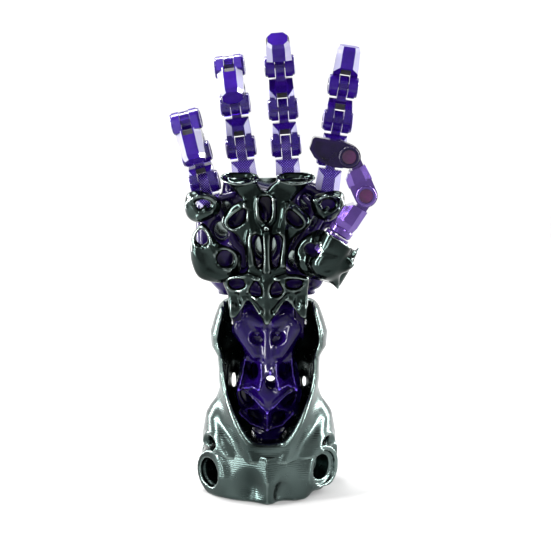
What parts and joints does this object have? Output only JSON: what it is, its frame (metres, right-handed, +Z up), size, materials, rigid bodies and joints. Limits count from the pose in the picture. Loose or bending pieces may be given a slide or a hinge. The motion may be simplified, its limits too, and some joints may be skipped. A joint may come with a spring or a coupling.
{
  "type": "prosthetic hand",
  "caption": "Articulated right hand of clear violet resin links with gunmetal palm shells, on a wrist hinge above an open forearm cuff with a socketed foot.",
  "frame": {"origin": "centre of the foot's flat underside", "axes": "+Z up along the forearm towards the fingertips, palm faces -Y, thumb on +X"},
  "size_m": [0.1271, 0.079, 0.2918],
  "materials": {
    "gunmetal_print": "silky metallic filament, dark gunmetal, fine horizontal print lines",
    "violet_resin": "glossy clear violet resin",
    "lilac_resin": "glossy lilac resin",
    "black_rubber": "matt black",
    "steel": "bright steel"
  },
  "bodies": {
    "forearm": {"base_foot": "gunmetal_print", "base_bolts": "steel", "forearm_cuff": "gunmetal_print", "forearm_core": "violet_resin", "wrist_pin": "steel"},
    "palm": {"palm_frame": "violet_resin", "palm_plate": "gunmetal_print", "pinky_knuckle_cover": "gunmetal_print", "index_knuckle_cover": "gunmetal_print", "heel_cover": "gunmetal_print", "thumb_cover": "gunmetal_print", "dorsal_plate": "gunmetal_print", "cover_screws": "steel", "mcp_pins": "violet_resin", "thumb_root": "lilac_resin", "thumb_swivel_pin": "steel", "index_root": "violet_resin", "middle_root": "violet_resin", "ring_root": "violet_resin", "pinky_root": "violet_resin"},
    "index_proximal": {"index_proximal": "violet_resin", "index_mcp_bumper": "black_rubber", "index_pip_pin": "violet_resin"},
    "index_middle": {"index_middle": "violet_resin", "index_pip_bumper": "black_rubber", "index_dip_pin": "violet_resin"},
    "index_distal": {"index_distal": "violet_resin", "index_dip_bumper": "black_rubber"},
    "middle_proximal": {"middle_proximal": "violet_resin", "middle_mcp_bumper": "black_rubber", "middle_pip_pin": "violet_resin"},
    "middle_middle": {"middle_middle": "violet_resin", "middle_pip_bumper": "black_rubber", "middle_dip_pin": "violet_resin"},
    "middle_distal": {"middle_distal": "violet_resin", "middle_dip_bumper": "black_rubber"},
    "ring_proximal": {"ring_proximal": "violet_resin", "ring_mcp_bumper": "black_rubber", "ring_pip_pin": "violet_resin"},
    "ring_middle": {"ring_middle": "violet_resin", "ring_pip_bumper": "black_rubber", "ring_dip_pin": "violet_resin"},
    "ring_distal": {"ring_distal": "violet_resin", "ring_dip_bumper": "black_rubber"},
    "pinky_proximal": {"pinky_proximal": "violet_resin", "pinky_mcp_bumper": "black_rubber", "pinky_pip_pin": "violet_resin"},
    "pinky_middle": {"pinky_middle": "violet_resin", "pinky_pip_bumper": "black_rubber", "pinky_dip_pin": "violet_resin"},
    "pinky_distal": {"pinky_distal": "violet_resin", "pinky_dip_bumper": "black_rubber"},
    "thumb_metacarpal": {"thumb_metacarpal": "lilac_resin", "thumb_mcp_pin": "lilac_resin"},
    "thumb_proximal": {"thumb_proximal": "lilac_resin", "thumb_ip_pin": "lilac_resin"},
    "thumb_distal": {"thumb_distal": "lilac_resin"}
  },
  "joints": [
    {"name": "wrist", "type": "hinge", "parent": "forearm", "child": "palm", "pos_m": [0, 0.002, 0.109], "axis": [1, 0, 0], "range_deg": [-15, 15]},
    {"name": "index_mcp", "type": "hinge", "parent": "palm", "child": "index_proximal", "pos_m": [0.0398, 0, 0.2155], "axis": [0.989, 0, -0.1478], "range_deg": [-5, 25]},
    {"name": "index_pip", "type": "hinge", "parent": "index_proximal", "child": "index_middle", "pos_m": [0.04305, 0, 0.23726], "axis": [0.989, 0, -0.1478], "range_deg": [-3, 57]},
    {"name": "index_dip", "type": "hinge", "parent": "index_middle", "child": "index_distal", "pos_m": [0.0463, -0.00115, 0.25899], "axis": [0.989, 0, -0.1478], "range_deg": [-5, 95]},
    {"name": "middle_mcp", "type": "hinge", "parent": "palm", "child": "middle_proximal", "pos_m": [0.0108, 0, 0.2219], "axis": [0.9966, 0, 0.0819], "range_deg": [-7, 58]},
    {"name": "middle_pip", "type": "hinge", "parent": "middle_proximal", "child": "middle_middle", "pos_m": [0.00892, -0.0008, 0.24481], "axis": [0.9966, 0, 0.0819], "range_deg": [-5, 75]},
    {"name": "middle_dip", "type": "hinge", "parent": "middle_middle", "child": "middle_distal", "pos_m": [0.00672, -0.00409, 0.27152], "axis": [0.9966, 0, 0.0819], "range_deg": [-42, 18]},
    {"name": "ring_mcp", "type": "hinge", "parent": "palm", "child": "ring_proximal", "pos_m": [-0.0175, 0, 0.221], "axis": [0.9914, 0, 0.1305], "range_deg": [-8, 42]},
    {"name": "ring_pip", "type": "hinge", "parent": "ring_proximal", "child": "ring_middle", "pos_m": [-0.02102, -0.00141, 0.24773], "axis": [0.9914, 0, 0.1305], "range_deg": [-17, 43]},
    {"name": "ring_dip", "type": "hinge", "parent": "ring_middle", "child": "ring_distal", "pos_m": [-0.02409, -0.00996, 0.27102], "axis": [0.9914, 0, 0.1305], "range_deg": [-115, 15]},
    {"name": "pinky_mcp", "type": "hinge", "parent": "palm", "child": "pinky_proximal", "pos_m": [-0.0405, 0, 0.1984], "axis": [0.9681, 0, 0.2504], "range_deg": [-17, 23]},
    {"name": "pinky_pip", "type": "hinge", "parent": "pinky_proximal", "child": "pinky_middle", "pos_m": [-0.0454, -0.00416, 0.21734], "axis": [0.9681, 0, 0.2504], "range_deg": [-18, 32]},
    {"name": "pinky_dip", "type": "hinge", "parent": "pinky_middle", "child": "pinky_distal", "pos_m": [-0.05071, -0.01641, 0.23788], "axis": [0.9681, 0, 0.2504], "range_deg": [-128, 2]},
    {"name": "thumb_swivel", "type": "hinge", "parent": "palm", "child": "thumb_metacarpal", "pos_m": [0.043, -0.03, 0.17], "axis": [0.5446, 0, 0.8387], "range_deg": [-10, 60]},
    {"name": "thumb_mcp", "type": "hinge", "parent": "thumb_metacarpal", "child": "thumb_proximal", "pos_m": [0.05885, -0.03, 0.1944], "axis": [0, 1, 0], "range_deg": [-8, 50]},
    {"name": "thumb_ip", "type": "hinge", "parent": "thumb_proximal", "child": "thumb_distal", "pos_m": [0.0484, -0.03, 0.21788], "axis": [0, 1, 0], "range_deg": [-15, 42]}
  ]
}
